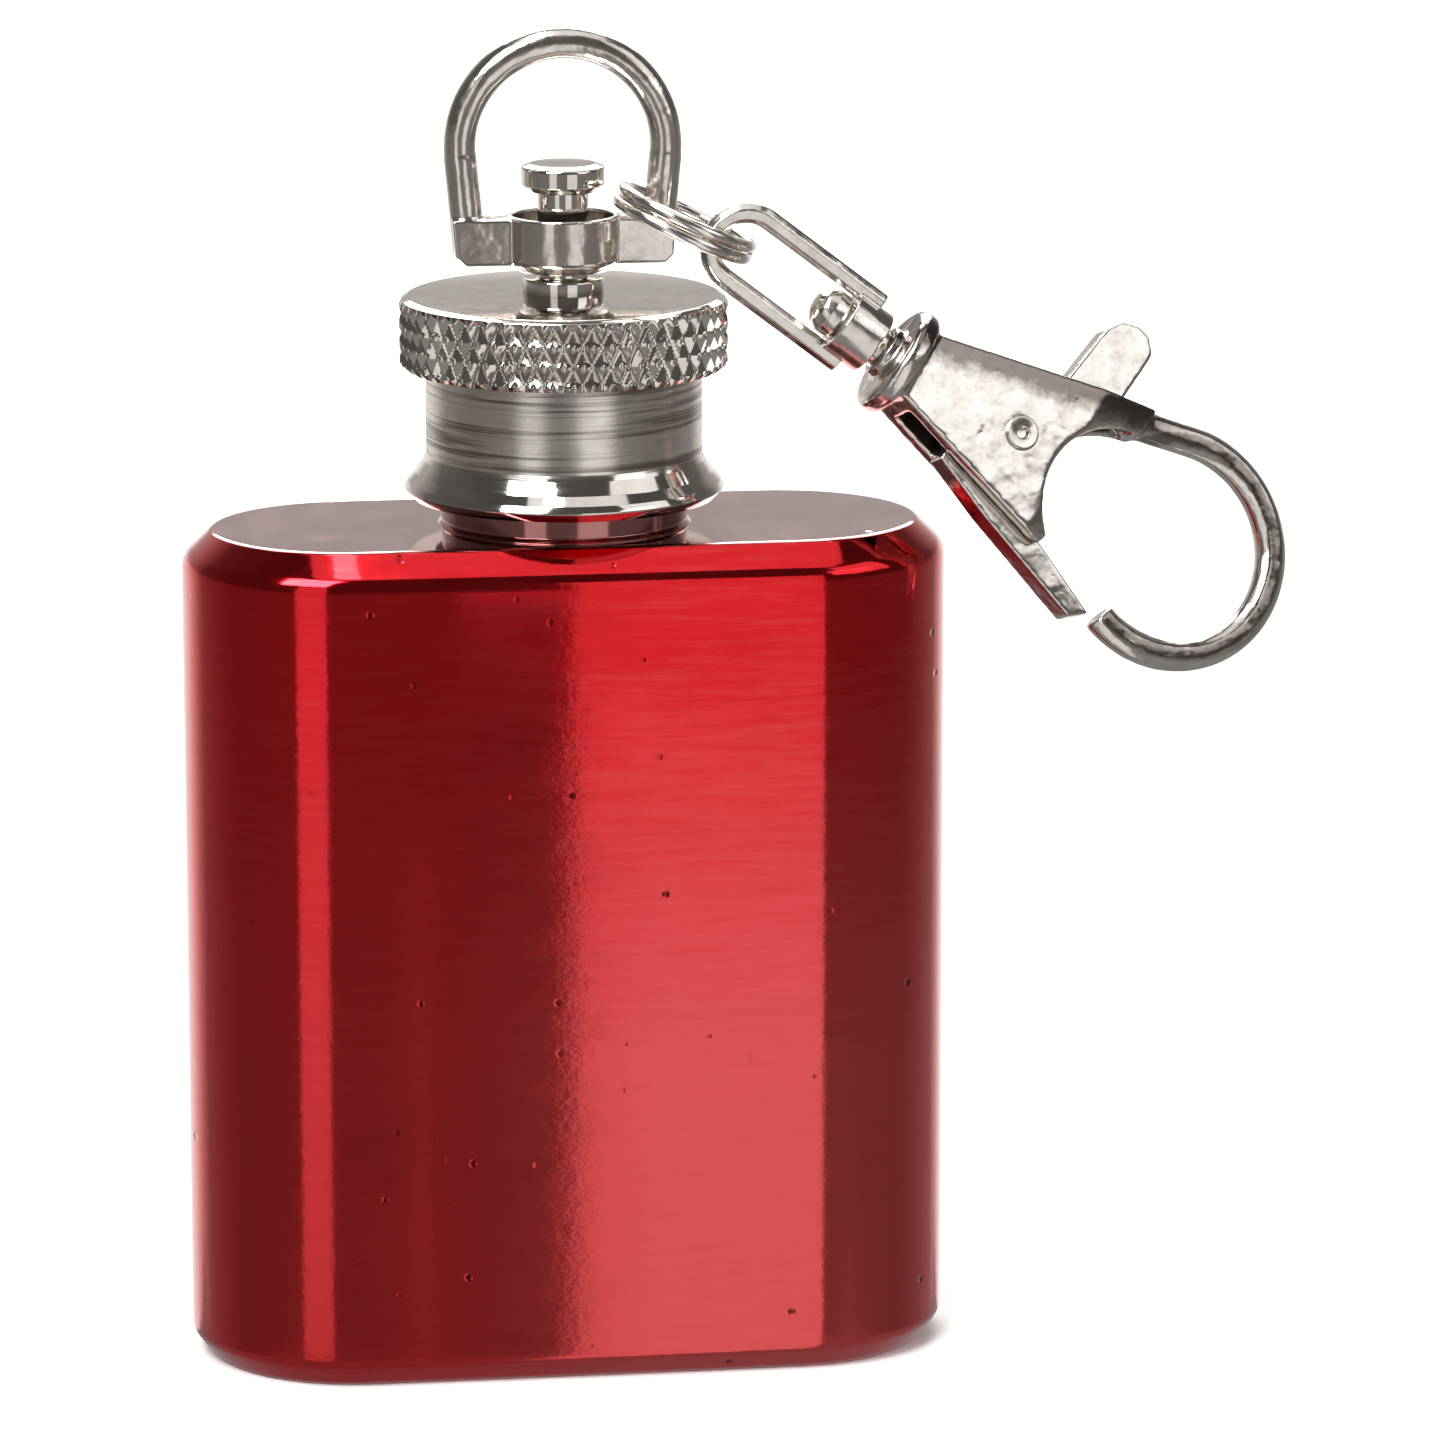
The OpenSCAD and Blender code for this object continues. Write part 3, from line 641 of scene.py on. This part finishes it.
split_ring()
place(softened("bail_cast", "bail", NICKEL, 0.085, 8), "bail", "nickel", "bail")
place(softened("swivel_loop_cast", "swivel_loop", NICKEL, 0.075, 3), "loop", "nickel", "swivel_loop")
place(softened("clasp_cast", "clasp_body", CLASP, 0.1, 30), "clasp", "nickel", "clasp_body")
place(softened("gate_cast", "gate", NICKEL, 0.075, 24), "gate", "nickel", "gate")
swivel_pin()
gate_rivet()
gate_spring()


# ---- studio ----

def fill_ramp(ramp, stops):
    """Gives a colour ramp exactly those (position, colour) stops."""
    elements = ramp.color_ramp.elements
    elements.remove(elements[1])
    for k, (at, color) in enumerate(stops):
        stop = elements[0] if k == 0 else elements.new(at)
        stop.position, stop.color = at, color


def glow_material(name, levels, height_mm):
    """Emission that runs through the levels from the card's lower edge to its upper one."""
    material = bpy.data.materials.new(name)
    material.use_nodes = True
    nodes, links = material.node_tree.nodes, material.node_tree.links
    nodes.clear()
    coords = nodes.new("ShaderNodeTexCoord")
    split = nodes.new("ShaderNodeSeparateXYZ")
    span = nodes.new("ShaderNodeMapRange")
    ramp = nodes.new("ShaderNodeValToRGB")
    glow = nodes.new("ShaderNodeEmission")
    out = nodes.new("ShaderNodeOutputMaterial")
    links.new(coords.outputs["Object"], split.inputs[0])
    links.new(split.outputs["Y"], span.inputs[0])
    span.inputs[1].default_value, span.inputs[2].default_value = -height_mm / 2 * MM, height_mm / 2 * MM
    links.new(span.outputs[0], ramp.inputs[0])
    fill_ramp(ramp, [(at, (level, level, level, 1)) for at, level in levels])
    links.new(ramp.outputs[0], glow.inputs["Strength"])
    links.new(glow.outputs[0], out.inputs[0])
    return material


def card(name, centre, facing, width, height, *levels):
    """Flat studio reflector seen only in reflections; levels are (share of its height, brightness)."""
    w, h = width / 2 * MM, height / 2 * MM
    mesh = bpy.data.meshes.new(name)
    mesh.from_pydata([(-w, -h, 0), (w, -h, 0), (w, h, 0), (-w, h, 0)], [], [(0, 1, 2, 3)])
    mesh.materials.append(glow_material(name, levels, height))
    obj = bpy.data.objects.new(name, mesh)
    bpy.context.scene.collection.objects.link(obj)
    obj.location = tuple(c * MM for c in centre)
    obj.rotation_euler = Vector(facing).to_track_quat("Z", "Y").to_euler()
    for ray in ("camera", "diffuse", "shadow", "transmission", "volume_scatter"):
        setattr(obj, "visible_" + ray, False)


def soft_light(name, centre, target, size, watts, mirrored=True):
    light = bpy.data.lights.new(name, "AREA")
    light.shape, light.size, light.energy = "SQUARE", size * MM, watts
    obj = bpy.data.objects.new(name, light)
    bpy.context.scene.collection.objects.link(obj)
    obj.location = tuple(c * MM for c in centre)
    obj.rotation_euler = (Vector(centre) - Vector(target)).to_track_quat("Z", "Y").to_euler()
    obj.visible_camera = False
    obj.visible_glossy = mirrored


def world():
    """White low behind, softer above it, dim at the sides and from the camera's side, as on a small sweep."""
    made = bpy.data.worlds.new("studio")
    bpy.context.scene.world = made
    made.use_nodes = True
    nodes, links = made.node_tree.nodes, made.node_tree.links
    background = nodes["Background"]
    coords = nodes.new("ShaderNodeTexCoord")
    split = nodes.new("ShaderNodeSeparateXYZ")
    links.new(coords.outputs["Generated"], split.inputs[0])

    def ramp(source, lo, hi, stops):
        span = nodes.new("ShaderNodeMapRange")
        links.new(source, span.inputs[0])
        span.inputs[1].default_value, span.inputs[2].default_value = lo, hi
        made_ramp = nodes.new("ShaderNodeValToRGB")
        links.new(span.outputs[0], made_ramp.inputs[0])
        fill_ramp(made_ramp, [(at, (level, level * 0.975, level * 0.955, 1)) for at, level in stops])
        return made_ramp.outputs[0]

    depth = ramp(split.outputs["Y"], -1, 1, ((0.0, 0.24), (0.5, 0.20), (0.80, 0.32), (0.93, 1.0)))
    height = ramp(split.outputs["Z"], -1, 1, ((0.0, 1.0), (0.50, 1.0), (0.56, 0.50), (0.85, 0.42)))
    both = nodes.new("ShaderNodeMix")
    both.data_type, both.blend_type = "RGBA", "MULTIPLY"
    both.inputs[0].default_value = 1.0
    links.new(depth, both.inputs[6])
    links.new(height, both.inputs[7])
    links.new(both.outputs[2], background.inputs[0])
    background.inputs[1].default_value = 1.0


def floor():
    n = Nodes("floor")
    tone = n.mix(n.span(n.noise(0.004, 2, 0.5), 0.3, 0.7), (0.93, 0.93, 0.93), (0.96, 0.96, 0.96))
    material = n.finish(tone, 0.9, n.bump(n.noise(0.6, 2, 0.5), 0.01, 0.3), Specular_IOR_Level=0.2)
    mesh = bpy.data.meshes.new("floor")
    half_m = 4.0
    mesh.from_pydata([(-half_m, -half_m, 0), (half_m, -half_m, 0), (half_m, half_m, 0), (-half_m, half_m, 0)],
                     [], [(0, 1, 2, 3)])
    mesh.materials.append(material)
    obj = bpy.data.objects.new("floor", mesh)
    bpy.context.scene.collection.objects.link(obj)
    obj.visible_glossy = False


world()
floor()
# Four wide lamps keep the far floor as white as the near floor from every side
for side, (x, y) in enumerate(((0, 1300), (0, -1300), (1300, 0), (-1300, 0))):
    soft_light(f"sweep_{side}", (x, y, 800), (x * 0.85, y * 0.85, 0), 1000, 5.0, mirrored=False)
# Reflectors: the bright right half of the front, the left crease, the shoulder and the clasp's cheek
card("card_front", (17.6, -50, 5), (0, 1, 0), 27, 130,
     (0.0, 0.88), (0.42, 0.9), (0.60, 0.98), (0.75, 1.0), (1, 0.98))
card("card_left", (-98, -148, -10), (0.55, 0.83, 0), 62, 300, (0, 0.6), (0.40, 0.74), (0.52, 0.92), (1, 0.95))
card("card_top", (20, -30, 260), (0, 0.1, -1), 190, 150, (0, 1.05), (1, 1.05))
card("card_streak", (-20, -20, 200), (0, 0.1, -1), 24, 90, (0, 9.0), (1, 9.0))
card("card_floor", (0, 0, -60), (0, 0, 1), 340, 340, (0, 0.3), (1, 0.3))
card("card_glow", (0.4, -50, 36), (0, 1, 0), 7.4, 17, (0, 0.2), (0.5, 0.3), (1, 0.6))
card("card_clasp", (71, -59, 95), (-0.59, 0.69, -0.41), 46, 27, (0, 1.5), (1, 1.9))
card("card_line", (-6.2, -50, -8), (0, 1, 0), 0.5, 60, (0, 0.3), (0.2, 0.55), (1, 0.45))
soft_light("key", (-220, -260, 420), (0, 0, 30), 260, 3.2)
soft_light("fill", (300, -160, 300), (10, 0, 40), 240, 0.2)
soft_light("back", (60, 420, 380), (0, 0, 20), 420, 3.2)
bpy.context.scene.view_settings.view_transform = "Standard"
